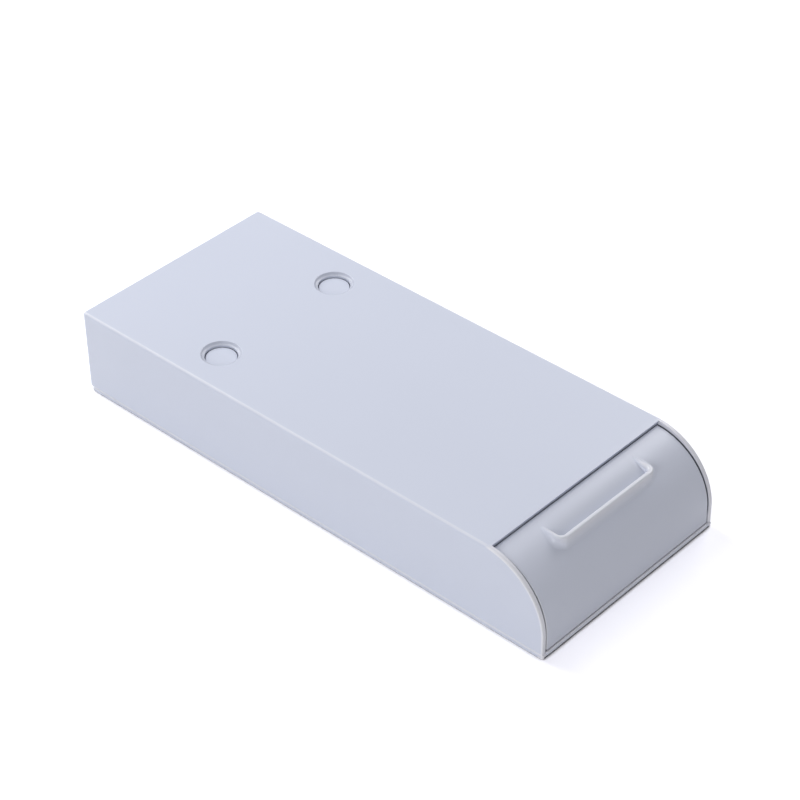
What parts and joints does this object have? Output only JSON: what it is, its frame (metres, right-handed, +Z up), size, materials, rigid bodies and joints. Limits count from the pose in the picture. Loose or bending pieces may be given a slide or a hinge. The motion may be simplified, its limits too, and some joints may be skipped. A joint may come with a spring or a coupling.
{
  "type": "under-desk drawer",
  "caption": "Low, long under-desk drawer unit in moulded plastic, with a quarter-round front that slides out by a raised U-shaped pull.",
  "frame": {"origin": "centre of the unit's underside, on the surface that it stands on", "axes": "+X to the right seen from the front, +Y to the rear along the slide, +Z up; the drawer opens towards -Y"},
  "size_m": [0.104, 0.252, 0.04],
  "materials": {
    "case_plastic": "light blue-grey, fine satin",
    "drawer_plastic": "light blue-grey, fine satin",
    "screw_steel": "plain zinc"
  },
  "bodies": {
    "case": {"case_shell": "case_plastic", "base_plate": "case_plastic", "cap_left": "case_plastic", "cap_right": "case_plastic", "base_screw_left": "screw_steel", "base_screw_right": "screw_steel"},
    "drawer": {"drawer_front": "drawer_plastic", "drawer_tray": "drawer_plastic", "front_screw_left": "screw_steel", "front_screw_right": "screw_steel"}
  },
  "joints": [
    {"name": "drawer_slide", "type": "slide", "parent": "case", "child": "drawer", "axis": [0, -1, 0], "range_m": [0, 0.175]}
  ]
}
